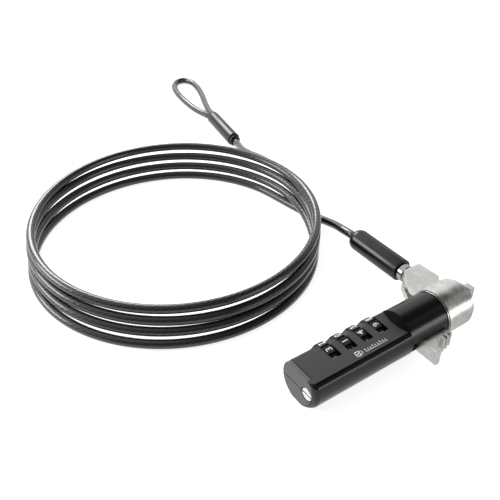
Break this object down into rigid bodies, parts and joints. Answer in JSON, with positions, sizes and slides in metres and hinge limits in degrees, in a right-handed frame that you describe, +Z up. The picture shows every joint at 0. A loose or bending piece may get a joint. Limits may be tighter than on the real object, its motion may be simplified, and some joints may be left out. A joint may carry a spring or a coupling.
{
  "type": "laptop cable lock",
  "caption": "Combination cable lock head with number wheels, swivelling fork collar, release lever and T-bar nose, on a coiled steel cable ending in a loop.",
  "frame": {"origin": "centre of the lock's own footprint, without the cord, on the surface it lies on", "axes": "+X along the lock's axis from the end cap to the T-bar, +Y to the dial side, +Z up from the flat dial face"},
  "size_m": [0.1784, 0.2978, 0.0205],
  "materials": {
    "housing_black": "gloss black paint on the round side, satin on the flat dial face",
    "cap_grey": "satin dark grey",
    "bright_screw": "polished, slotted",
    "dial_black": "fine-ribbed black with white numerals",
    "sleeve_brass": "turned",
    "inner_steel": "bright zinc plated",
    "nickel": "cast, tumbled and nickel plated, slightly mottled",
    "bright_fitting": "polished",
    "sleeve_black": "gloss black moulding",
    "cord_jacket": "clear smoky jacket over dark twisted wire strands"
  },
  "bodies": {
    "cable": {"cable_fitting": "bright_fitting", "cable_sleeve": "sleeve_black", "cord_coil": "cord_jacket", "cord_tail_lock": "cord_jacket", "cord_tail_loop": "cord_jacket", "loop_ferrule": "sleeve_black", "loop_eye": "cord_jacket"},
    "collar": {"swivel_collar": "nickel", "lug_pin": "nickel", "swivel_washer": "nickel"},
    "lock": {"body_shell": "housing_black", "end_cap": "cap_grey", "detent_plate": "inner_steel", "head_bushing": "inner_steel", "bushing_pin": "inner_steel", "nose_plate": "nickel", "t_bar": "nickel", "t_bar_pin": "inner_steel"},
    "dial_1": {"dial_1": "dial_black", "dial_sleeve_1": "sleeve_brass"},
    "dial_2": {"dial_2": "dial_black", "dial_sleeve_2": "sleeve_brass"},
    "dial_3": {"dial_3": "dial_black", "dial_sleeve_3": "sleeve_brass"},
    "dial_4": {"dial_4": "dial_black", "dial_sleeve_4": "sleeve_brass"},
    "screw": {"code_screw": "bright_screw"},
    "slider": {"release_lever": "nickel", "lever_carriage": "inner_steel", "spindle": "inner_steel", "prong_left": "nickel", "prong_right": "nickel", "spindle_spring": "inner_steel"}
  },
  "joints": [
    {"name": "lug_pivot", "type": "hinge", "parent": "cable", "child": "collar", "pos_m": [0.0326, -0.00285, 0.0102], "axis": [0, 0, 1], "range_deg": [-15, 60]},
    {"name": "collar_swivel", "type": "hinge", "parent": "collar", "child": "lock", "pos_m": [0.0293, -0.02015, 0.0102], "axis": [1, 0, 0], "continuous": true},
    {"name": "dial_1_turn", "type": "hinge", "parent": "lock", "child": "dial_1", "pos_m": [-0.0289, -0.01505, 0.00905], "axis": [1, 0, 0], "continuous": true},
    {"name": "dial_2_turn", "type": "hinge", "parent": "lock", "child": "dial_2", "pos_m": [-0.021, -0.01505, 0.00905], "axis": [1, 0, 0], "continuous": true},
    {"name": "dial_3_turn", "type": "hinge", "parent": "lock", "child": "dial_3", "pos_m": [-0.0131, -0.01505, 0.00905], "axis": [1, 0, 0], "continuous": true},
    {"name": "dial_4_turn", "type": "hinge", "parent": "lock", "child": "dial_4", "pos_m": [-0.0052, -0.01505, 0.00905], "axis": [1, 0, 0], "continuous": true},
    {"name": "code_screw_turn", "type": "hinge", "parent": "lock", "child": "screw", "pos_m": [-0.0437, -0.0244, 0.0091], "axis": [1, 0, 0], "range_deg": [0, 90]},
    {"name": "lever_slide", "type": "slide", "parent": "lock", "child": "slider", "axis": [1, 0, 0], "range_m": [-0.004, 0], "stiffness_N_per_m": 200, "springref_m": 0.003, "deforming": ["spindle_spring"]}
  ]
}
